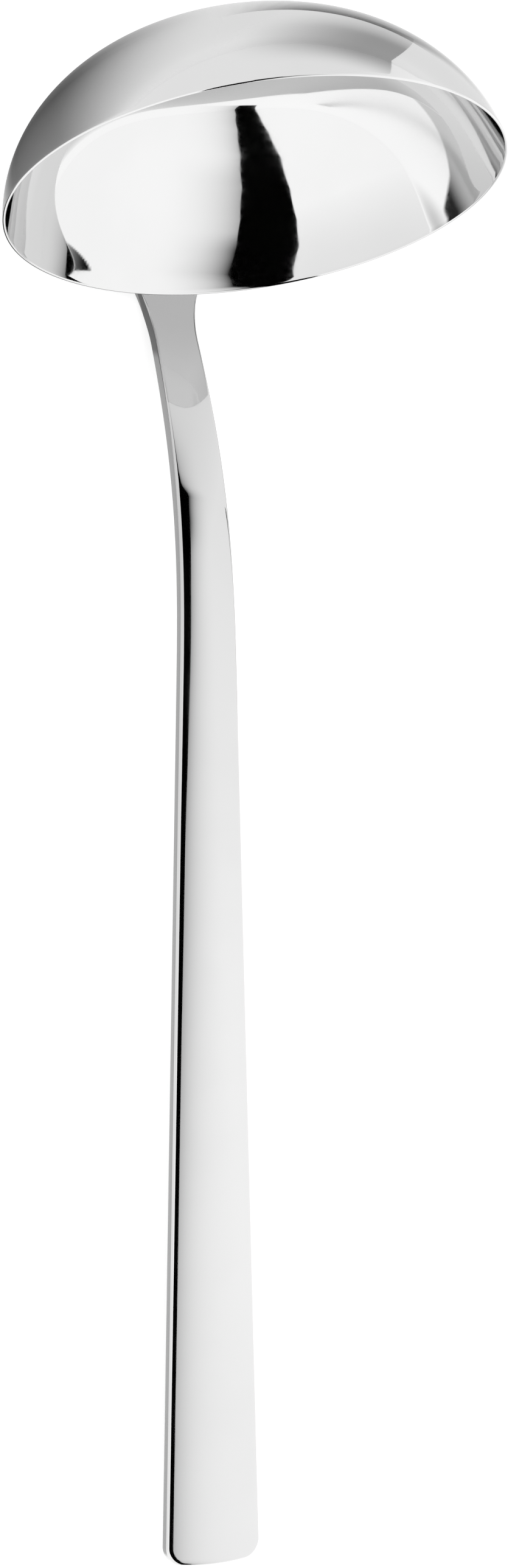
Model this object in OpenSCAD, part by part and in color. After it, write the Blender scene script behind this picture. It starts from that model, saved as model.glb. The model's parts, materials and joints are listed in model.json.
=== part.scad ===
// Soup ladle: a pressed oval bowl with a forged strap handle welded to the outside of its wall.
// Millimetres. The ladle lies on a table on its back: +Z is up, the bowl is at +Y and the handle
// runs to -Y. X = 0 is its plane of symmetry.

/* [Bowl] */
// Outside width of the rim, across the ladle
bowl_width = 101; // [94:0.5:108]
// Outside length of the rim, in line with the handle
bowl_length = 88; // [86:0.5:90]
// Outside depth from the rim to the lowest point
bowl_depth = 31.5; // [30.5:0.5:32.5]
// Outside radius of the arc of the side wall
side_radius = 36; // [35:0.5:37]
// Outside radius of the flatter bottom
floor_radius = 90; // [80:1:110]
// Thickness of the wall
wall = 1.7; // [1.2:0.1:2]
// Thickness of the wall at its rounded rim, where the inside opens out
rim_edge = 0.6; // [0.5:0.1:0.8]
// Distance from the rim in which the wall gains two thirds of its full thickness
thin_length = 6; // [4:0.5:10]

/* [Handle] */
// Length along the handle from the rim to the end
handle_length = 256; // [240:1:270]
// Width that the straight taper has at the rim
neck_width = 8.9; // [7.5:0.1:10]
// Width of the grip at its end
end_width = 20.9; // [18:0.1:24]
// Thickness of the strap at its edges
strap_thickness = 2.3; // [2:0.1:3.2]
// Extra thickness of the strap at the neck
neck_extra = 0.6; // [0:0.1:1]
// Rise of the crowned face over its edges, at the neck
neck_crown = 1; // [0.6:0.1:1.5]
// Rise of the crowned face over its edges, at the end
end_crown = 0.6; // [0.3:0.1:1]
// Length above the flare in which the crown comes in
crown_length = 42; // [35:1:60]
// Lean of the straight grip away from the axis of the bowl, in degrees
grip_lean = 26.2; // [24:0.1:29]
// Distance along the handle from the rim to the end of the bend
bend_end = 80; // [75:1:95]
// Radius of the two corners of the end
corner_radius = 3.4; // [2:0.1:5]
// Radius of the shallow arc of the end edge
end_radius = 60; // [40:1:100]
// Rounding of the long edges
edge_radius = 0.5; // [0.3:0.1:0.7]

/* [Foot and weld] */
// Length of the foot below the rim, along the wall
foot_length = 15; // [13:0.5:17]
// Width of the oval that rounds off the foot
foot_width = 22; // [20:0.5:24]
// Distance above the rim at which the neck starts to flare
flare_start = 10; // [9:0.5:12]
// Radius of the flare
flare_radius = 30; // [26:1:34]
// Thickness of the foot at its lower end
foot_edge = 1.3; // [1.2:0.1:2]
// Leg of the weld fillet around the foot
weld_leg = 1.1; // [0.7:0.1:1.1]

/* [Hidden] */

steel = [0.78, 0.78, 0.79];
weld_steel = [0.70, 0.70, 0.71];

function smooth(t) = let(c = min(max(t, 0), 1)) c * c * (3 - 2 * c);
function heading(angle) = [cos(angle), sin(angle)];
function degrees(length, radius) = length / radius * 180 / PI;

// Outside profile of the bowl as [distance from its axis, height over the rim]: a side arc that
// ends on the rim and touches a flatter bottom arc. The rim's full round ends the side arc early.
rim_radius = bowl_length / 2;
oval = bowl_width / bowl_length;
rim_point = [rim_radius, 0];
floor_centre = [0, floor_radius - bowl_depth];
rim_reach = norm(rim_point - floor_centre);
rim_heading = (rim_point - floor_centre) / rim_reach;
arc_gap = floor_radius - side_radius;
along = (arc_gap * arc_gap - side_radius * side_radius + rim_reach * rim_reach) / (2 * rim_reach);
aside = sqrt(arc_gap * arc_gap - along * along);
side_centre = floor_centre + along * rim_heading + aside * [rim_heading.y, -rim_heading.x];
rim_angle = atan2(-side_centre.y, rim_radius - side_centre.x);
joint_angle = atan2(side_centre.y - floor_centre.y, side_centre.x);
round_angle = rim_angle - degrees(rim_edge / 2, side_radius);

// Slope of the handle at s along it from the rim: it leaves the rim along the wall, straightens,
// then bends back to the slope of the grip
straighten_length = 8;
function lean(s) =
    -rim_angle * (1 - smooth(s / straighten_length)) + grip_lean * smooth(s / bend_end);

// Centre line of the handle's face, one point a millimetre, in the same terms as the profile
face_line = [
    for (i = 0, p = rim_point; i <= handle_length; p = p + heading(90 - lean(i + 0.5)), i = i + 1) p
];
function face_point(s) =
    let (i = min(floor(s), len(face_line) - 2))
    face_line[i] + (s - i) * (face_line[i + 1] - face_line[i]);

// A point of the handle: s along it from the rim, u across it, v from its face to its back. Below
// the rim, s is negative and runs down the outside of the wall, and v = 0 lies on the wall.
hug_length = 12;
bow_length = 25;
wall_curve = rim_radius * oval * oval;
function on_wall(s, u, v) =
    let (p = side_centre + (side_radius + v) * heading(rim_angle + degrees(s, side_radius)))
    [u, -p.x * sqrt(1 - pow(u / (p.x * oval), 2)), p.y];
function on_strap(s, u, v) =
    let (bow = u * u / (2 * end_radius) * smooth(1 - (handle_length - s) / bow_length))
    let (sag = u * u / (2 * wall_curve) * (1 - smooth(s / hug_length)))
    let (p = face_point(s - bow) + v * heading(-lean(s)))
    [u, sag - p.x, p.y];
function place(s, u, v) = s < 0 ? on_wall(s, u, v) : on_strap(s, u, v);

// Half the width of the handle: an oval foot, a flare, a straight taper and round end corners
foot_tip_half = 1.5;
foot_widest = -foot_length / 3;
foot_drop = foot_length + foot_widest;
blend = 6;
function taper_half(s) = (neck_width + (end_width - neck_width) * max(s, 0) / handle_length) / 2;
function flare_half(s) =
    let (d = min(flare_start - s, flare_radius * 0.9))
    taper_half(s) + flare_radius - sqrt(flare_radius * flare_radius - d * d);
function oval_half(s) =
    let (t = min(max((foot_widest - s) / foot_drop, 0), 1))
    foot_tip_half + (foot_width / 2 - foot_tip_half) * sqrt(1 - t * t);
function foot_half(s) = pow(pow(flare_half(s), -blend) + pow(oval_half(s), -blend), -1 / blend);
function end_half(s) =
    let (d = max(s - handle_length + corner_radius, 0))
    taper_half(s) - corner_radius + sqrt(corner_radius * corner_radius - d * d);
function half_width(s) = s < flare_start ? foot_half(s) : end_half(s);

// Thickness at the edges, crown of the face, and rounding of the face's edges
function thickness(s) =
    s < 0
    ? foot_edge + (strap_thickness + neck_extra - foot_edge) * smooth(1 + s / foot_length)
    : strap_thickness + neck_extra * (1 - smooth(s / bend_end));
function crown(s) =
    let (share = (s - flare_start) / (handle_length - flare_start))
    (neck_crown + (end_crown - neck_crown) * share) * smooth((s - flare_start) / crown_length);
sharp_edge = 0.05;
function face_edge(s) = sharp_edge + (edge_radius - sharp_edge) * smooth((s + 1) / 3);

// Spare metal on the back of the grip, which the flat back then takes off
spare = 0.2;
spare_start = -0.05;
spare_length = 20;
function back_spare(s) =
    spare_start * smooth(s / bend_end)
    + (spare - spare_start) * min(max((s - bend_end) / spare_length, 0), 1);

// Outline of the handle's section at s, as [u, v]: round edges, crowned face, flat back
corner_steps = [0, 45, 90];
crown_steps = [-0.85, -0.6, -0.3, 0, 0.3, 0.6, 0.85];
function section(s) =
    let (h = half_width(s), t = thickness(s) + back_spare(s), f = face_edge(s), b = edge_radius)
    concat(
        [for (a = corner_steps) [f - h - f * cos(a), f - f * sin(a)]],
        [for (k = crown_steps) [k * (h - f), -crown(s) * (1 - k * k)]],
        [for (a = corner_steps) [h - f + f * sin(a), f - f * cos(a)]],
        [for (a = corner_steps) [h - b + b * cos(a), t - b + b * sin(a)]],
        [for (a = corner_steps) [b - h - b * sin(a), t - b + b * cos(a)]]
    );

// Stations along the handle
foot_stations = concat(
    [for (a = [90:-15:0]) foot_widest - foot_drop * sin(a)],
    [for (k = [0.6, 0.3, 0.1]) foot_widest * k]
);
neck_stations = [for (i = [0:5]) flare_start * i / 5];
bend_steps = 14;
bend_stations = [for (i = [1:bend_steps]) flare_start + (bend_end - flare_start) * i / bend_steps];
grip_end = handle_length - corner_radius;
grip_steps = 8;
grip_stations = [for (i = [1:grip_steps]) bend_end + (grip_end - bend_end) * i / grip_steps];
corner_stations = [for (a = [18:18:90]) grip_end + corner_radius * sin(a)];
stations = concat(foot_stations, neck_stations, bend_stations, grip_stations, corner_stations);

// A closed skin over a list of rings, each with the same number of points
function skin_faces(rings, size) = concat(
    [for (i = [0:rings - 2], j = [0:size - 1])
        let (a = i * size + j, b = i * size + (j + 1) % size) [a, a + size, b]],
    [for (i = [0:rings - 2], j = [0:size - 1])
        let (a = i * size + j, b = i * size + (j + 1) % size) [b, a + size, b + size]],
    [[for (j = [0:size - 1]) j]],
    [[for (j = [size - 1:-1:0]) (rings - 1) * size + j]]
);
module skin(rings) {
    polyhedron(points = [for (ring = rings, p = ring) p], faces = skin_faces(len(rings), len(rings[0])));
}

// How the ladle lies: on the back edge of the handle's end and on the back of its foot
end_back = face_point(handle_length) + strap_thickness * heading(-grip_lean);
function back_point(s) = let (p = place(s, 0, thickness(s))) [-p.y, p.z];
rest_lean = min([
    for (s = [-foot_length:0.5:bend_end])
        let (reach = end_back - back_point(s)) atan2(reach.x, reach.y)
]);
rest_height = cos(rest_lean) * end_back.x - sin(rest_lean) * end_back.y;
bowl_reach = side_radius + sin(rest_lean) * side_centre.x - cos(rest_lean) * side_centre.y;
end_face = face_point(handle_length) + crown(handle_length) * heading(180 - grip_lean);
end_reach = sin(rest_lean) * end_face.x + cos(rest_lean) * end_face.y;

module at_rest() {
    translate([0, (end_reach - bowl_reach) / 2, rest_height])
        rotate([90 - rest_lean, 0, 0])
        children();
}

// Outside profile of the bowl from its lowest ring to the rim's round, as [point, angle of the normal]
floor_start = -88.5;
floor_steps = 4;
side_steps = 18;
outside = concat(
    [for (i = [0:floor_steps - 1])
        let (a = floor_start + (joint_angle - floor_start) * i / floor_steps)
        [floor_centre + floor_radius * heading(a), a]],
    [for (i = [0:side_steps])
        let (a = joint_angle + (round_angle - joint_angle) * i / side_steps)
        [side_centre + side_radius * heading(a), a]]
);
function wall_at(angle) =
    let (distance = (round_angle - angle) * side_radius * PI / 180)
    wall - (wall - rim_edge) * exp(-distance / thin_length);

// An oval ring of the bowl: a profile point moved into the wall and up along it
bowl_sides = 64;
function bowl_ring(point, angle, inset, rise) =
    let (shift = rise * heading(angle + 90) - inset * heading(angle))
    [
        for (i = [bowl_sides:-1:1])
            let (p = heading(360 * i / bowl_sides))
            [(point.x * oval + shift.x) * p.x, (point.x + shift.x) * p.y, point.y + shift.y]
    ];

module bowl() {
    top = outside[len(outside) - 1];
    color(steel)
        at_rest()
        skin(concat(
            [for (q = outside) bowl_ring(q[0], q[1], 0, 0)],
            [for (a = [30:30:150])
                bowl_ring(top[0], top[1], rim_edge / 2 * (1 - cos(a)), rim_edge / 2 * sin(a))],
            [for (i = [len(outside) - 1:-1:0])
                let (q = outside[i])
                bowl_ring(q[0], q[1], wall_at(q[1]), 0)]
        ));
}

module handle() {
    flat_start = bend_end + 1;
    start = face_point(flat_start);
    cut_depth = 5;
    color(steel)
        at_rest()
        difference() {
            skin([for (s = stations) [for (p = section(s)) place(s, p.x, p.y)]]);
            translate([0, -start.x, start.y])
                rotate([grip_lean, 0, 0])
                translate([-end_width, -strap_thickness - cut_depth, 0])
                cube([2 * end_width, cut_depth, handle_length]);
        }
}

// The weld follows the edge of the foot down one side, round its tip and up the other side
weld_edge = concat(
    [for (i = [len(foot_stations) - 1:-1:0]) [foot_stations[i], -half_width(foot_stations[i])]],
    [for (s = foot_stations) [s, half_width(s)]]
);
weld_fade = 3;
hollow = 0.36;
function weld_size(s) = weld_leg * (0.2 + 0.8 * smooth(-s / weld_fade));
function weld_ring(i) =
    let (last = len(weld_edge) - 1)
    let (p = weld_edge[i], way = weld_edge[min(i + 1, last)] - weld_edge[max(i - 1, 0)])
    let (out = [-way.y, way.x] / norm(way), leg = weld_size(p.x))
    let (toe = p - leg * out, mid = p - hollow * leg * out)
    [
        place(p.x, p.y, 0),
        place(p.x, p.y, leg),
        place(mid.x, mid.y, hollow * leg),
        place(toe.x, toe.y, 0)
    ];

module foot_weld() {
    color(weld_steel)
        at_rest()
        skin([for (i = [0:len(weld_edge) - 1]) weld_ring(i)]);
}

bowl();
handle();
foot_weld();
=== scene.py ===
import json

import bpy
import numpy as np
from mathutils import Matrix, Vector


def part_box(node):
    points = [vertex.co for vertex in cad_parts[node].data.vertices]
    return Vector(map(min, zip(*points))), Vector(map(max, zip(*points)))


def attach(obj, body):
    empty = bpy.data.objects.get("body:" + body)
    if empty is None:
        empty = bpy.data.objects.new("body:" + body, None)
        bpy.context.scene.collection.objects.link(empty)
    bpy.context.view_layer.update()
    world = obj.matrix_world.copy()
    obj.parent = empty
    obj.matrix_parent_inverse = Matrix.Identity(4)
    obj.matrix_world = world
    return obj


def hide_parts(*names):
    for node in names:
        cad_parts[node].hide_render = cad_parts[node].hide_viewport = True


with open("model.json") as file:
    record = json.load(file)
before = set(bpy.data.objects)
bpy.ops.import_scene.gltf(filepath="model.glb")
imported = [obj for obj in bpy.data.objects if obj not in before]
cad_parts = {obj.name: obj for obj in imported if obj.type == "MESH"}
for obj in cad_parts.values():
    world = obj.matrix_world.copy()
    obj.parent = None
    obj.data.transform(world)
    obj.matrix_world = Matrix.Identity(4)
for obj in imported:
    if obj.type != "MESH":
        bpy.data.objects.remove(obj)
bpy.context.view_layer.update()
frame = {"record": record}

# Sizes of the ladle are in millimetres; meshes and the studio are in metres.
MM = 0.001

# Bowl: outside of its rim, depth, the two arcs of its profile, and the wall that thins to the rim
BOWL_WIDTH = 100.95
BOWL_LENGTH = 87.92
BOWL_DEPTH = 31.5
SIDE_RADIUS = 36.0
FLOOR_RADIUS = 90.0
ARC_EASE = 4.0
EASE_REACH = 4 * ARC_EASE
PROFILE_STEP = 0.05
WALL = 1.65
RIM_EDGE = 0.6
THIN_LENGTH = 5.8

# Handle: a strap that leaves the rim along the wall, straightens and bends back to the grip
HANDLE_LENGTH = 256.0
NECK_WIDTH = 8.9
END_WIDTH = 20.9
STRAP_THICKNESS = 2.3
NECK_EXTRA = 0.6
CROWN_NECK = 1.02
CROWN_END = 0.6
CROWN_LENGTH = 42.0
GRIP_LEAN = np.radians(26.2)
BEND_END = 80.0
STRAIGHTEN_LENGTH = 8.0
HUG_LENGTH = 12.0
CORNER_RADIUS = 3.4
END_RADIUS = 60.0
BOW_LENGTH = 25.0
EDGE_RADIUS = 0.5
SHARP_EDGE = 0.05
SHARP_TO_ROUND = (-1.0, 2.0)
SHOULDER_WIDTH = 1.2
SHOULDER_DROP = 0.12
CLEARANCE = 0.005

# Foot of the handle on the wall, and the weld around it
FOOT_LENGTH = 15.0
FOOT_WIDEST = -FOOT_LENGTH / 3
FOOT_DROP = FOOT_LENGTH + FOOT_WIDEST
FOOT_WIDTH = 22.0
FOOT_TIP_HALF = 1.5
FOOT_EDGE = 1.3
FLARE_START = 10.0
FLARE_RADIUS = 30.0
FLARE_LIMIT = 0.9 * FLARE_RADIUS
FLARE_BLEND = 6
WELD_LEG = 1.1
WELD_FADE = 3.0
WELD_TOP = -0.3
WELD_TOP_SHARE = 0.2
WELD_RIPPLE = 0.06
WELD_PITCH = 1.3

# Camera, in the ladle's frame
CAMERA_PLACE = Vector((-0.41402, 0.01973, 0.86496))
CAMERA_LOOK = Vector((0.44558, -0.01695, -0.89508))
CAMERA_UP = Vector((0.04024, 0.99919, 0.00111))
CAMERA_LENS = 110.0
CAMERA_SENSOR = 36.0


def smooth(t):
    c = np.clip(t, 0.0, 1.0)
    return c * c * (3.0 - 2.0 * c)


def ramp(value, start, end):
    """A smooth way from 0 at the start to 1 at the end, which may lie on either side of it."""
    return smooth((value - start) / (end - start))


def heading(angle):
    return np.stack([np.cos(angle), np.sin(angle)], -1)


# Profile of the bowl as distance from its axis and height over the rim: a side arc from the rim that
# touches a flatter bottom arc
RIM_RADIUS = BOWL_LENGTH / 2
OVAL = BOWL_WIDTH / BOWL_LENGTH


def find_arc_centres():
    rim = np.array([RIM_RADIUS, 0.0])
    floor_centre = np.array([0.0, FLOOR_RADIUS - BOWL_DEPTH])
    reach = np.linalg.norm(rim - floor_centre)
    way = (rim - floor_centre) / reach
    gap = FLOOR_RADIUS - SIDE_RADIUS
    along = (gap ** 2 - SIDE_RADIUS ** 2 + reach ** 2) / (2 * reach)
    aside = np.sqrt(gap ** 2 - along ** 2)
    side_centre = floor_centre + along * way + aside * np.array([way[1], -way[0]])
    return floor_centre, side_centre


FLOOR_CENTRE, SIDE_CENTRE = find_arc_centres()
RIM_ANGLE = np.arctan2(-SIDE_CENTRE[1], RIM_RADIUS - SIDE_CENTRE[0])
JOINT_ANGLE = np.arctan2(SIDE_CENTRE[1] - FLOOR_CENTRE[1], SIDE_CENTRE[0])
FLOOR_ARC = (JOINT_ANGLE + np.pi / 2) * FLOOR_RADIUS
SIDE_ARC = (RIM_ANGLE - JOINT_ANGLE) * SIDE_RADIUS
PROFILE_LENGTH = FLOOR_ARC + SIDE_ARC


def profile_angle(s):
    """Angle of the outside normal at s along the profile from the lowest point, either way."""
    along = np.abs(s)
    floor = -np.pi / 2 + along / FLOOR_RADIUS
    side = JOINT_ANGLE + (along - FLOOR_ARC) / SIDE_RADIUS
    angle = np.where(along < FLOOR_ARC, floor, side)
    return np.where(s < 0, -np.pi - angle, angle)


def bowl_profile(places):
    """Radius, height and normal angle at places along the outside, with the two arcs eased together."""
    step = PROFILE_STEP
    s = np.arange(0, PROFILE_LENGTH, step)
    spread = np.arange(-EASE_REACH, EASE_REACH + step / 2, step)
    weight = np.exp(-0.5 * (spread / ARC_EASE) ** 2)
    angle = profile_angle(s[:, None] + spread) @ weight / weight.sum()
    radius = np.cumsum(-np.sin(angle) * step)
    height = np.cumsum(np.cos(angle) * step)
    radius *= RIM_RADIUS / radius[-1]
    height *= BOWL_DEPTH / height[-1]
    return tuple(np.interp(places, s, values) for values in (radius, height - BOWL_DEPTH, angle))


def lean(s):
    """Slope of the handle away from the bowl's axis at s along it from the rim."""
    settle = -RIM_ANGLE * (1 - smooth(s / STRAIGHTEN_LENGTH))
    return settle + GRIP_LEAN * smooth(s / BEND_END)


# Centre line of the handle's face, one point a millimetre, in the same terms as the profile
LINE_PLACES = np.arange(HANDLE_LENGTH + 1)
LINE_STEPS = heading(np.pi / 2 - lean(LINE_PLACES[:-1] + 0.5))
FACE_LINE = np.cumsum(np.vstack([[RIM_RADIUS, 0.0], LINE_STEPS]), 0)


def face_point(s):
    return np.stack([np.interp(s, LINE_PLACES, FACE_LINE[:, i]) for i in (0, 1)], -1)


def on_wall(s, u, v):
    p = SIDE_CENTRE + (SIDE_RADIUS + v)[..., None] * heading(RIM_ANGLE + s / SIDE_RADIUS)
    share = 1 - (u / (p[..., 0] * OVAL)) ** 2
    return np.stack([u, -p[..., 0] * np.sqrt(share), p[..., 1]], -1)


def on_strap(s, u, v):
    bow = u ** 2 / (2 * END_RADIUS) * smooth(1 - (HANDLE_LENGTH - s) / BOW_LENGTH)
    sag = u ** 2 / (2 * RIM_RADIUS * OVAL ** 2) * (1 - smooth(s / HUG_LENGTH))
    p = face_point(s - bow) + v[..., None] * heading(-lean(s))
    return np.stack([u, sag - p[..., 0], p[..., 1]], -1)


def handle_point(s, u, v):
    """A point s along the handle from the rim, u across it and v from its face to its back."""
    s, u, v = np.broadcast_arrays(*(np.asarray(a, float) for a in (s, u, v)))
    return np.where((s < 0)[..., None], on_wall(s, u, v), on_strap(s, u, v))


def taper_half(s):
    return (NECK_WIDTH + (END_WIDTH - NECK_WIDTH) * np.maximum(s, 0) / HANDLE_LENGTH) / 2


def half_width(s):
    """Half the width of the handle: an oval foot, a flare, a straight taper and round end corners."""
    d = np.clip(FLARE_START - s, 0, FLARE_LIMIT)
    flare = taper_half(s) + FLARE_RADIUS - np.sqrt(FLARE_RADIUS ** 2 - d ** 2)
    t = np.clip((FOOT_WIDEST - s) / FOOT_DROP, 0, 1)
    oval = FOOT_TIP_HALF + (FOOT_WIDTH / 2 - FOOT_TIP_HALF) * np.sqrt(1 - t ** 2)
    foot = (flare ** -FLARE_BLEND + oval ** -FLARE_BLEND) ** (-1 / FLARE_BLEND)
    d = np.clip(s - HANDLE_LENGTH + CORNER_RADIUS, 0, CORNER_RADIUS)
    end = taper_half(s) - CORNER_RADIUS + np.sqrt(CORNER_RADIUS ** 2 - d ** 2)
    return np.where(s < FLARE_START, foot, end)


def thickness(s):
    full = STRAP_THICKNESS + NECK_EXTRA
    foot = FOOT_EDGE + (full - FOOT_EDGE) * smooth(1 + s / FOOT_LENGTH)
    return np.where(s < 0, foot, STRAP_THICKNESS + NECK_EXTRA * (1 - smooth(s / BEND_END)))


def edge_distance(s, u):
    """Distance in plan from the nearest edge of the handle."""
    step = 0.01
    slope = (half_width(s) - half_width(s - step)) / step
    side = (half_width(s) - np.abs(u)) / np.hypot(1, slope)
    past = s - (HANDLE_LENGTH - CORNER_RADIUS)
    beside = np.abs(u) - (taper_half(s) - CORNER_RADIUS)
    end = CORNER_RADIUS - np.where(beside > 0, np.hypot(past, beside), past)
    return np.where(past > 0, end, side)


def edge_round(distance, radius):
    d = np.clip(distance, 0, radius)
    return radius - np.sqrt(radius ** 2 - (radius - d) ** 2)


def crown_rise(s):
    """Height of the face's middle over its edges: none on the foot, most at the neck, less to the end."""
    share = (s - FLARE_START) / (HANDLE_LENGTH - FLARE_START)
    return (CROWN_NECK + (CROWN_END - CROWN_NECK) * share) * smooth((s - FLARE_START) / CROWN_LENGTH)


# Points across the handle, closer together towards its edges
ACROSS = np.sin(np.linspace(-np.pi / 2, np.pi / 2, 49))


def section(s):
    """Outline of the handle at s: along the crowned face, then along the back the other way."""
    u = ACROSS * half_width(s)
    distance = edge_distance(s, u)
    crown = crown_rise(s) * (1 - (u / taper_half(s)) ** 2)
    drop = SHOULDER_DROP * smooth((s - FLARE_START) / BEND_END)
    shoulder = drop * np.clip(1 - distance / SHOULDER_WIDTH, 0, 1) ** 2
    face_edge = SHARP_EDGE + (EDGE_RADIUS - SHARP_EDGE) * ramp(s, *SHARP_TO_ROUND)
    face = shoulder - crown * (s > FLARE_START) + edge_round(distance, face_edge)
    back = thickness(s) - edge_round(distance, EDGE_RADIUS)
    return np.concatenate([u, u[::-1]]), np.concatenate([face, back[::-1]])


# How the ladle lies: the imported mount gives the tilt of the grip's flat back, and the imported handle's
# box gives the place of its end
BACK_AXIS = frame["record"]["mounts"][0]["axis"]
REST_LEAN = GRIP_LEAN - np.arcsin(BACK_AXIS[1])
TILT = np.array([
    [1, 0, 0],
    [0, np.sin(REST_LEAN), -np.cos(REST_LEAN)],
    [0, np.cos(REST_LEAN), np.sin(REST_LEAN)],
])
END_POINTS = handle_point(HANDLE_LENGTH, 0, [-CROWN_END, STRAP_THICKNESS]) @ TILT.T
REST_SHIFT = np.array(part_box("handle")[0]) / MM - END_POINTS.min(0)
REST_SHIFT[0] = 0.0
REST_SHIFT[2] += CLEARANCE


def at_rest(points):
    return (points @ TILT.T + REST_SHIFT) * MM


def add_mesh(name, points, faces):
    mesh = bpy.data.meshes.new(name)
    mesh.from_pydata([tuple(p) for p in points], [], [tuple(map(int, face)) for face in faces])
    mesh.update()
    piece = bpy.data.objects.new(name, mesh)
    bpy.context.scene.collection.objects.link(piece)
    return piece


def ring_faces(count, size):
    """Four-sided faces between rings of points."""
    here = np.arange(size)
    beyond = np.roll(here, -1)
    faces = []
    for start in range(0, (count - 1) * size, size):
        faces += list(zip(start + here, start + beyond, start + size + beyond, start + size + here))
    return faces


BOWL_SIDES = 256
BOWL_RINGS = 90
RIM_TURNS = np.radians(np.arange(15, 180, 15))


def make_bowl():
    places = np.linspace(0, PROFILE_LENGTH - RIM_EDGE / 2, BOWL_RINGS + 1)[1:]
    wall = RIM_EDGE + (WALL - RIM_EDGE) * (1 - np.exp((places - places[-1]) / THIN_LENGTH))
    radius, height, angle = bowl_profile(places)
    turns = np.linspace(0, 2 * np.pi, BOWL_SIDES, endpoint=False)

    def ring(i, inset, rise):
        across, up = rise * heading(angle[i] + np.pi / 2) - inset * heading(angle[i])
        x = (radius[i] * OVAL + across) * np.cos(turns)
        y = (radius[i] + across) * np.sin(turns)
        return np.stack([x, y, np.full(BOWL_SIDES, height[i] + up)], -1)

    edge = RIM_EDGE / 2
    order = range(len(places))
    rings = [ring(i, 0, 0) for i in order]
    rings += [ring(-1, edge * (1 - np.cos(a)), edge * np.sin(a)) for a in RIM_TURNS]
    rings += [ring(i, wall[i], 0) for i in reversed(order)]
    poles = [[0, 0, -BOWL_DEPTH], [0, 0, WALL - BOWL_DEPTH]]
    points = np.concatenate([*rings, poles])
    faces = ring_faces(len(rings), BOWL_SIDES)
    outside_pole, inside_pole = len(points) - 2, len(points) - 1
    last = (len(rings) - 1) * BOWL_SIDES
    for i in range(BOWL_SIDES):
        j = (i + 1) % BOWL_SIDES
        faces.append((j, i, outside_pole))
        faces.append((last + i, last + j, inside_pole))
    return add_mesh("bowl_shell", at_rest(points), faces)


FOOT_STATIONS = 24
NECK_STATIONS = 12
STRAP_STATIONS = 260
CORNER_STATIONS = 20


def handle_stations():
    foot = FOOT_WIDEST - FOOT_DROP * np.sin(np.linspace(np.pi / 2, 0, FOOT_STATIONS))
    neck = np.linspace(FOOT_WIDEST, 0, NECK_STATIONS)[1:-1]
    strap = np.linspace(0, HANDLE_LENGTH - CORNER_RADIUS, STRAP_STATIONS)
    turns = np.linspace(0, np.pi / 2, CORNER_STATIONS)[1:]
    corner = HANDLE_LENGTH - CORNER_RADIUS * (1 - np.sin(turns))
    return np.concatenate([foot, neck, strap, corner])


def make_handle():
    stations = handle_stations()
    rings = [handle_point(s, *section(s)) for s in stations]
    size = len(rings[0])
    faces = ring_faces(len(rings), size)
    last = (len(rings) - 1) * size
    for i in range(size // 2 - 1):
        j = size - 1 - i
        faces.append((i, j, j - 1, i + 1))
        faces.append((last + i, last + i + 1, last + j - 1, last + j))
    return add_mesh("strap_handle", at_rest(np.concatenate(rings)), faces)


WELD_SWEEP = np.linspace(0, np.pi / 2, 8)
WELD_TIP_STATIONS = 60
WELD_SIDE_STATIONS = 20


def make_weld():
    """A hollow fillet along the edge of the foot: down one side, round its tip and up the other."""
    down = FOOT_WIDEST - FOOT_DROP * np.sin(np.linspace(np.pi / 2, 0, WELD_TIP_STATIONS))
    side = np.linspace(FOOT_WIDEST, WELD_TOP, WELD_SIDE_STATIONS)[1:]
    s = np.concatenate([down, side])
    half = half_width(s)
    edge = np.concatenate([np.stack([s[::-1], -half[::-1]], -1), np.stack([s, half], -1)])
    way = np.gradient(edge, axis=0)
    out = np.stack([-way[:, 1], way[:, 0]], -1) / np.linalg.norm(way, axis=1)[:, None]
    length = np.cumsum(np.linalg.norm(way, axis=1))
    rings = []
    for point, outward, place in zip(edge, out, length):
        leg = WELD_LEG * (WELD_TOP_SHARE + (1 - WELD_TOP_SHARE) * smooth(-point[0] / WELD_FADE))
        leg *= 1 - WELD_RIPPLE * (1 + np.cos(2 * np.pi * place / WELD_PITCH)) / 2
        away = np.append(leg * (1 - np.cos(WELD_SWEEP)), 0)
        lift = np.append(leg * (1 - np.sin(WELD_SWEEP)), 0)
        spot = point - away[:, None] * outward
        rings.append(handle_point(spot[:, 0], spot[:, 1], lift))
    size = len(rings[0])
    faces = ring_faces(len(rings), size)
    faces.append(range(size - 1, -1, -1))
    faces.append(range((len(rings) - 1) * size, len(rings) * size))
    return add_mesh("foot_weld_bead", at_rest(np.concatenate(rings)), faces)


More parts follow.
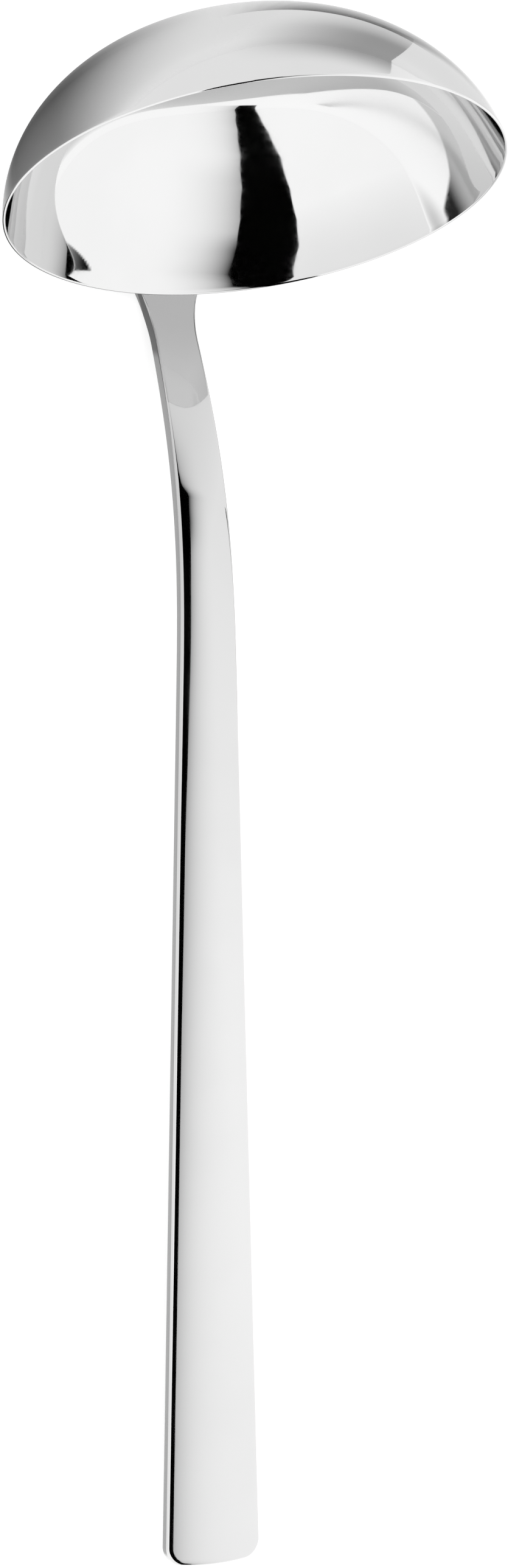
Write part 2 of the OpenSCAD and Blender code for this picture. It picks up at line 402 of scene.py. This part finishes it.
class Nodes:
    """Adds linked shader nodes to a new material."""

    def __init__(self, name):
        self.material = bpy.data.materials.new(name)
        self.material.use_nodes = True
        self.tree = self.material.node_tree
        self.tree.nodes.clear()

    def add(self, kind, sockets, **settings):
        node = self.tree.nodes.new(kind)
        for key, value in settings.items():
            setattr(node, key, value)
        for key, value in sockets.items():
            if isinstance(value, bpy.types.NodeSocket):
                self.tree.links.new(value, node.inputs[key])
            else:
                node.inputs[key].default_value = value
        return node

    def coordinates(self):
        return self.add("ShaderNodeTexCoord", {}).outputs["Object"]

    def side_facing(self):
        """How squarely the surface faces along X, from 0 to 1."""
        normal = self.add("ShaderNodeTexCoord", {}).outputs["Normal"]
        across = self.add("ShaderNodeSeparateXYZ", {"Vector": normal}).outputs["X"]
        return self.add("ShaderNodeMath", {0: across}, operation="ABSOLUTE").outputs["Value"]

    def noise(self, place, scale, detail):
        sockets = {"Vector": place, "Scale": scale, "Detail": detail}
        return self.add("ShaderNodeTexNoise", sockets).outputs["Fac"]

    def spread(self, value, from_range, to_range):
        sockets = {
            "Value": value,
            "From Min": from_range[0],
            "From Max": from_range[1],
            "To Min": to_range[0],
            "To Max": to_range[1],
        }
        return self.add("ShaderNodeMapRange", sockets, interpolation_type="SMOOTHSTEP").outputs["Result"]

    def multiply(self, first, second):
        return self.add("ShaderNodeMath", {0: first, 1: second}, operation="MULTIPLY").outputs["Value"]

    def output(self, shader):
        self.add("ShaderNodeOutputMaterial", {"Surface": shader})
        return self.material


# The steel's clouds, which vary its tone and haze, and its fine polishing lines
CLOUD_SCALE = 40.0
CLOUD_DETAIL = 3.0
CLOUD_RANGE = (0.3, 0.7)
CLOUD_TONE = 0.01
HAZE_RANGE = (0.35, 0.75)
LINE_DETAIL = 4.0
LINE_RANGE = (0.3, 0.7)
LINE_ROUGHNESS = (0.75, 1.25)
LINE_DEPTH = 0.00002
SIDE_FACING = (0.85, 0.97)


def steel(name, tone, stretch, rough, bump, painted_shade_ends=(), painted_side_share=1.0, side_rough=1.0):
    """Polished stainless steel: faintly cloudy tone, fine polishing lines and hazy smudges.

    A painted-shade end is a place along Y where a painted shade starts to darken the tone, one where it is
    full, and the share of the tone left.
    Sides that face along X are rougher by a factor, a ground finish, and keep only a share of the tone, a
    painted shade.
    """
    nodes = Nodes(name)
    place = nodes.coordinates()
    cloud = nodes.noise(place, CLOUD_SCALE, CLOUD_DETAIL)
    lines_place = nodes.add("ShaderNodeMapping", {"Vector": place, "Scale": stretch}).outputs["Vector"]
    lines = nodes.noise(lines_place, 1.0, LINE_DETAIL)
    shade = nodes.spread(cloud, CLOUD_RANGE, (tone - CLOUD_TONE, tone + CLOUD_TONE))
    along = nodes.add("ShaderNodeSeparateXYZ", {"Vector": place}).outputs["Y"]
    # Painted shade: the tone darkens over each painted-shade end along Y
    for start, end, share in painted_shade_ends:
        shade = nodes.multiply(shade, nodes.spread(along, (start, end), (1.0, share)))
    haze = nodes.spread(cloud, HAZE_RANGE, rough)
    grain = nodes.spread(lines, LINE_RANGE, LINE_ROUGHNESS)
    roughness = nodes.multiply(haze, grain)
    # Painted shade: sides that face along X keep only a share of the tone; their extra roughness is the
    # ground finish
    if painted_side_share < 1.0:
        facing = nodes.side_facing()
        shade = nodes.multiply(shade, nodes.spread(facing, SIDE_FACING, (1.0, painted_side_share)))
        roughness = nodes.multiply(roughness, nodes.spread(facing, SIDE_FACING, (1.0, side_rough)))
    relief = nodes.add("ShaderNodeBump", {"Height": lines, "Strength": bump, "Distance": LINE_DEPTH})
    sockets = {
        "Base Color": shade,
        "Metallic": 1.0,
        "Roughness": roughness,
        "Normal": relief.outputs["Normal"],
    }
    shader = nodes.add("ShaderNodeBsdfPrincipled", sockets)
    return nodes.output(shader.outputs["BSDF"])


def finish_piece(piece, node, material):
    piece.data.polygons.foreach_set("use_smooth", [len(p.vertices) < 5 for p in piece.data.polygons])
    piece.data.materials.append(material)
    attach(piece, "root")
    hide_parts(node)


# Painted shade: the handle's tone darkens from mid-grip towards the neck, and more again on the foot
HANDLE_PAINTED_SHADE = [(-0.06, 0.065, 0.88), (0.078, 0.1, 0.82)]
bowl_finish = steel("bowl_mirror_steel", tone=0.725, stretch=(900, 900, 900), rough=(0.03, 0.06), bump=0.015)
handle_finish = steel(
    "handle_polished_steel",
    tone=0.69,
    stretch=(1500, 15, 1500),
    rough=(0.03, 0.06),
    bump=0.015,
    painted_shade_ends=HANDLE_PAINTED_SHADE,
    # the sides keep a share of the tone as painted shade, and are rougher as a ground finish
    painted_side_share=0.46,
    side_rough=5.0,
)
weld_finish = steel("weld_dressed_steel", tone=0.62, stretch=(700, 700, 700), rough=(0.16, 0.26), bump=0.2)
bowl = make_bowl()
handle = make_handle()
weld = make_weld()
finish_piece(bowl, "bowl", bowl_finish)
finish_piece(handle, "handle", handle_finish)
finish_piece(weld, "foot_weld", weld_finish)

# The bowl shows no image of the handle or the weld: both are hidden from mirror rays
handle.visible_glossy = False
weld.visible_glossy = False


# Studio: a white tent around a pale floor, with dark cards that are seen only in the steel
TENT_LIGHT = 1.245
TENT_BEHIND = 1.01
TENT_FADE_WAY = (-0.5, 0.85, 0.0)
TENT_FADE = (-0.12, 0.45)
FLOOR_TONE = 0.5
FLOOR_GLOW = 0.62
FLOOR_HALF = 6.0
LAMP_SIZE = 4.0
LAMP_HEIGHT = 3.0
LAMP_POWER = 24.0
TENT_HEIGHT = 0.24
TENT_REACH = 1.5
FLOOR_GAP = 0.001
BOWL_CENTRE = np.array([0.0, 0.118, 0.045])


def make_floor():
    nodes = Nodes("pale_floor")
    matt = nodes.add("ShaderNodeBsdfDiffuse", {"Color": (FLOOR_TONE, FLOOR_TONE, FLOOR_TONE, 1.0)})
    glow = nodes.add("ShaderNodeEmission", {"Strength": FLOOR_GLOW})
    shader = nodes.add("ShaderNodeAddShader", {0: matt.outputs["BSDF"], 1: glow.outputs["Emission"]})
    corners = [(-1, -1, 0), (1, -1, 0), (1, 1, 0), (-1, 1, 0)]
    floor = add_mesh("floor", FLOOR_HALF * np.array(corners), [(0, 1, 2, 3)])
    floor.data.materials.append(nodes.output(shader.outputs["Shader"]))


def stage_card(card, material):
    card.data.materials.append(material)
    card.visible_camera = False
    card.visible_diffuse = False
    card.visible_shadow = False


def shade_material(nodes, amount):
    """Black that lets through the part of the light that the amount leaves."""
    dark = nodes.add("ShaderNodeBsdfDiffuse", {"Color": (0.0, 0.0, 0.0, 1.0)}).outputs["BSDF"]
    clear = nodes.add("ShaderNodeBsdfTransparent", {}).outputs["BSDF"]
    return nodes.output(nodes.add("ShaderNodeMixShader", {0: amount, 1: clear, 2: dark}).outputs["Shader"])


def tent_point(across, along):
    """A point of the tent or floor by its angles from straight up over the bowl, in degrees."""
    polar = np.radians(np.hypot(across, along))
    turn = np.arctan2(along, across)
    way = np.array([np.sin(polar) * np.cos(turn), np.sin(polar) * np.sin(turn), np.cos(polar)])
    height = TENT_HEIGHT if way[2] > 0 else FLOOR_GAP
    reach = min(TENT_REACH, (height - BOWL_CENTRE[2]) / way[2])
    return BOWL_CENTRE + reach * way


# A dark slit in the tent: its two edges at places along it, and where it fades out. The half-shade beside
# its right edge starts with a strength and fades over an angle, on its near, middle and far rows.
SLIT_ALONG = [-95.0, -85.0, -75.0, -60.0, -40.0, -20.0, -5.0, 1.0, 4.0, 7.0, 9.0, 42.0]
SLIT_LEFT = [28.0, 14.5, 3.7, -8.3, -17.9, -23.8, -25.2, -22.8, -20.5, -19.0, -14.0, -12.0]
SLIT_RIGHT = [35.5, 24.2, 16.4, 8.5, 2.6, 0.8, 1.9, 3.5, 5.0, 7.0, -3.0, -3.0]
SLIT_EASE = np.ones(3) / 3
SLIT_FADE = (38.0, 18.0)
NEAR_STARTS = (-14.0, -2.0)
NEAR_ENDS = (14.0, 8.0)
FAR_STARTS = (-40.0, -60.0)
HALF_SHADES = [(0.95, 9.2), (0.55, 9.5), (0.45, 5.5)]
HALF_SHADE_WIDTH = 36.0
HALF_SHADE_STEPS = np.linspace(0.02, HALF_SHADE_WIDTH, 25)


def shaded_card(name, points, shades):
    """A dark card on a grid of points, with the shade at each of them."""
    grid = np.asarray(points)
    index = np.arange(grid.shape[0] * grid.shape[1]).reshape(grid.shape[:2])
    faces = np.stack([index[:-1, :-1], index[:-1, 1:], index[1:, 1:], index[1:, :-1]], -1)
    card = add_mesh(name, grid.reshape(-1, 3), faces.reshape(-1, 4))
    layer = card.data.attributes.new("shade", "FLOAT", "POINT")
    layer.data.foreach_set("value", np.broadcast_to(shades, index.shape).ravel())
    nodes = Nodes(name)
    amount = nodes.add("ShaderNodeAttribute", {}, attribute_name="shade").outputs["Fac"]
    stage_card(card, shade_material(nodes, amount))


def make_slit():
    places = np.arange(SLIT_ALONG[0], SLIT_ALONG[-1] + 1)
    curves = [places, np.interp(places, SLIT_ALONG, SLIT_LEFT), np.interp(places, SLIT_ALONG, SLIT_RIGHT)]
    eased = [np.convolve(curve, SLIT_EASE, "valid") for curve in curves]
    steps = HALF_SHADE_STEPS
    rows = []
    shades = []
    for along, left, right in zip(*eased):
        near = ramp(along, *NEAR_STARTS) * ramp(along, *NEAR_ENDS)
        far = ramp(along, *FAR_STARTS)
        half = np.zeros(len(steps))
        for share, (strength, fade) in zip((near, 1 - near - far, far), HALF_SHADES):
            half += share * strength * np.exp(-steps / fade)
        half *= 1 - smooth(steps / HALF_SHADE_WIDTH) ** 4
        rows.append([tent_point(across, along) for across in (left, right, *(right + steps))])
        shades.append(ramp(along, *SLIT_FADE) * np.concatenate([[1.0, 1.0], half]))
    shaded_card("tent_slit", rows, shades)


# A dark corner of the tent at the right, in the same angles: a slanting edge, and shade that fades across
CORNER_ACROSS = np.arange(62.0, 85.0)
CORNER_ALONG = np.linspace(-1.0, 6.8, 17)
CORNER_END = 8.0
CORNER_EDGE = 64.0
CORNER_SLANT = 12.0
CORNER_BEND = 1.6
CORNER_SOFT = 0.5
CORNER_FADE = (66.0, 84.0)


def make_corner():
    rows = []
    shades = []
    for along in CORNER_ALONG:
        rows.append([tent_point(across, along) for across in CORNER_ACROSS])
        edge = CORNER_EDGE + CORNER_SLANT * (max(CORNER_END - along, 0) / CORNER_END) ** CORNER_BEND
        share = np.clip((CORNER_ACROSS - CORNER_FADE[0]) / (CORNER_FADE[1] - CORNER_FADE[0]), 0, 1)
        shades.append((1 - share ** 2) * ramp(CORNER_ACROSS, edge - CORNER_SOFT, edge + CORNER_SOFT))
    shaded_card("shade_corner", rows, shades)


# Heights of the cards on the floor, so that no two that overlap share a plane
DIMMING_HEIGHT = 0.0008
SHADOW_HEIGHT = 0.001
FOOT_SHADE_HEIGHT = 0.0012
FAN_HEIGHT = 0.0015
STRIP_HEIGHT = 0.002


def floor_points(x, y, height):
    x, y = np.broadcast_arrays(x, y)
    return np.stack([x, y, np.full(x.shape, height)], -1)


# Behind the ladle the whole floor is dimmer
DIMMING_PLACES = np.array([0.1, 0.17, 0.25, 0.6, FLOOR_HALF])
DIMMING_SHADES = np.array([0.0, 0.28, 0.26, 0.21, 0.19])


def make_dimming():
    points = floor_points(np.array([-FLOOR_HALF, FLOOR_HALF]), DIMMING_PLACES[:, None], DIMMING_HEIGHT)
    shaded_card("shade_floor", points, DIMMING_SHADES[:, None])


# A shadow beside the bowl, by turn in degrees and reach from a point near its far wall
SHADOW_CENTRE = np.array([0.02, 0.15])
SHADOW_DARKNESS = 0.88
SHADOW_TURNS = np.arange(98.0, 216.0, 3.0)
SHADOW_GROWS = (98.0, 176.0)
SHADOW_ENDS = (215.0, 195.0)
SHADOW_NEAR = 0.06
SHADOW_FAR = 1.8
SHADOW_REACHES = np.geomspace(0.004, SHADOW_FAR, 30)


def make_shadow():
    reach = SHADOW_REACHES[:, None]
    x, y = np.moveaxis(SHADOW_CENTRE + reach[..., None] * heading(np.radians(SHADOW_TURNS)), -1, 0)
    around = ramp(SHADOW_TURNS, *SHADOW_GROWS) * ramp(SHADOW_TURNS, *SHADOW_ENDS)
    outward = np.log(np.maximum(reach / SHADOW_NEAR, 1)) / np.log(SHADOW_FAR / SHADOW_NEAR)
    shades = SHADOW_DARKNESS * around * smooth(reach / SHADOW_NEAR) * (1 - outward)
    shaded_card("shade_left", floor_points(x, y, SHADOW_HEIGHT), shades)


# A fan behind the bowl with one sharp side, which runs over the floor and on up the tent
FAN_CENTRE = np.array([0.052, 0.15])
FAN_DARKNESS = 0.58
FAN_TURNS = np.linspace(50.5, 98.0, 25)
FAN_REACHES = np.append(np.geomspace(0.05, TENT_REACH, 20), np.full(10, TENT_REACH))
FAN_RISES = np.append(np.zeros(20), np.linspace(0.05, 0.5, 10))
FAN_NEAR_SHARE = 0.3
FAN_GROWS = (0.04, 0.2)
FAN_ENDS = (98.0, 58.0)


def make_fan():
    reach = FAN_REACHES[:, None]
    rise = FAN_RISES[:, None]
    x, y = np.moveaxis(FAN_CENTRE + reach[..., None] * heading(np.radians(FAN_TURNS)), -1, 0)
    points = floor_points(x, y, FAN_HEIGHT)
    points[..., 2] += rise
    outward = FAN_NEAR_SHARE + (1 - FAN_NEAR_SHARE) * ramp(reach, *FAN_GROWS)
    upward = ramp(rise, FAN_RISES[-1], 0)
    shaded_card("shade_behind", points, FAN_DARKNESS * ramp(FAN_TURNS, *FAN_ENDS) * outward * upward)


# A strip close behind the bowl, darkest at its straight far edge
BEHIND_PLACES = np.linspace(0.005, 0.115, 23)
BEHIND_DARKNESS = 0.79
BEHIND_WIDTH = 0.06
BEHIND_EDGE = 0.2275
BEHIND_SLANT = -0.2
BEHIND_GROWS = (0.005, 0.05)
BEHIND_ENDS = (0.115, 0.08)


def make_strip_behind():
    x = BEHIND_PLACES
    edge = BEHIND_EDGE + BEHIND_SLANT * x
    offset = np.array([[0.0], [-BEHIND_WIDTH]])
    shade = BEHIND_DARKNESS * ramp(x, *BEHIND_GROWS) * ramp(x, *BEHIND_ENDS)
    points = floor_points(x, edge + offset, STRIP_HEIGHT)
    shaded_card("shade_edge", points, shade * (1 + offset / BEHIND_WIDTH))


# A strip under the bowl, darkest at its left
UNDER_PLACES = np.linspace(-0.1, 0.019, 41)
UNDER_OFFSETS = np.array([[-0.0008], [0.0008], [0.018], [0.035]])
UNDER_SHARES = np.array([[0.0], [1.0], [1.0], [0.0]])
UNDER_EDGE = 0.0925
UNDER_SLANT = 0.157
UNDER_LIMIT = 0.09
UNDER_LIGHTEST = 0.34
UNDER_DARKEST = 0.98
UNDER_DARKENS = (0.01, -0.04)
UNDER_STARTS = (-0.1, -0.07)


def make_strip_under():
    x = UNDER_PLACES
    edge = np.minimum(UNDER_EDGE + UNDER_SLANT * x, UNDER_LIMIT)
    shade = UNDER_LIGHTEST + (UNDER_DARKEST - UNDER_LIGHTEST) * ramp(x, *UNDER_DARKENS)
    shade *= ramp(x, *UNDER_STARTS)
    shaded_card("shade_under", floor_points(x, edge + UNDER_OFFSETS, STRIP_HEIGHT), shade * UNDER_SHARES)


# Shade beside the foot, with a curved left edge
FOOT_SHADE_PLACES = np.linspace(0.012, 0.105, 32)
FOOT_SHADE_DARKNESS = 0.51
FOOT_SHADE_EDGE = 0.0187
FOOT_SHADE_CURVE = 0.0145
FOOT_SHADE_BEND = (0.075, 0.012)
FOOT_SHADE_MIDDLE = 0.07
FOOT_SHADE_END = 0.12
FOOT_SHADE_SHARES = np.array([1.0, 0.5, 0.0])
FOOT_SHADE_STARTS = (0.012, 0.018)
FOOT_SHADE_FADES = (0.08, 0.1)
FOOT_SHADE_LOSS = 0.4


def make_foot_shade():
    y = FOOT_SHADE_PLACES
    bend_start, bend_end = FOOT_SHADE_BEND
    edge = FOOT_SHADE_EDGE + FOOT_SHADE_CURVE * np.clip((y - bend_start) / (bend_end - bend_start), 0, 1) ** 2
    x = np.stack([edge, np.full(len(y), FOOT_SHADE_MIDDLE), np.full(len(y), FOOT_SHADE_END)], -1)
    strength = FOOT_SHADE_DARKNESS * ramp(y, *FOOT_SHADE_STARTS)
    strength *= 1 - FOOT_SHADE_LOSS * ramp(y, *FOOT_SHADE_FADES)
    points = floor_points(x, y[:, None], FOOT_SHADE_HEIGHT)
    shaded_card("shade_foot", points, strength[:, None] * FOOT_SHADE_SHARES)


def make_lamp():
    """A wide lamp overhead that whitens the floor."""
    data = bpy.data.lights.new("floor_lamp", "AREA")
    data.size = LAMP_SIZE
    data.energy = LAMP_POWER
    lamp = bpy.data.objects.new("floor_lamp", data)
    lamp.location = (0.0, 0.0, LAMP_HEIGHT)
    lamp.visible_glossy = False
    bpy.context.scene.collection.objects.link(lamp)


def make_tent():
    world = bpy.data.worlds.new("white_tent")
    world.use_nodes = True
    tree = world.node_tree
    direction = tree.nodes.new("ShaderNodeTexCoord")
    side = tree.nodes.new("ShaderNodeVectorMath")
    side.operation = "DOT_PRODUCT"
    side.inputs[1].default_value = TENT_FADE_WAY
    fade = tree.nodes.new("ShaderNodeMapRange")
    fade.inputs["From Min"].default_value = TENT_FADE[0]
    fade.inputs["From Max"].default_value = TENT_FADE[1]
    fade.inputs["To Min"].default_value = TENT_LIGHT
    fade.inputs["To Max"].default_value = TENT_BEHIND
    tree.links.new(direction.outputs["Generated"], side.inputs[0])
    tree.links.new(side.outputs["Value"], fade.inputs["Value"])
    tree.nodes["Background"].inputs["Color"].default_value = (1.0, 1.0, 1.0, 1.0)
    tree.links.new(fade.outputs["Result"], tree.nodes["Background"].inputs["Strength"])
    bpy.context.scene.world = world
    bpy.context.scene.view_settings.view_transform = "Standard"


make_floor()
make_tent()
make_lamp()
make_slit()
make_corner()
make_dimming()
make_foot_shade()
make_shadow()
make_fan()
make_strip_behind()
make_strip_under()


def make_camera():
    data = bpy.data.cameras.new("camera")
    data.lens = CAMERA_LENS
    data.sensor_fit = "VERTICAL"
    data.sensor_height = CAMERA_SENSOR
    camera = bpy.data.objects.new("camera", data)
    bpy.context.scene.collection.objects.link(camera)
    back = -CAMERA_LOOK.normalized()
    right = CAMERA_UP.cross(back).normalized()
    turn = Matrix((right, back.cross(right), back)).transposed().to_4x4()
    camera.matrix_world = Matrix.Translation(CAMERA_PLACE) @ turn
    bpy.context.scene.camera = camera


make_camera()
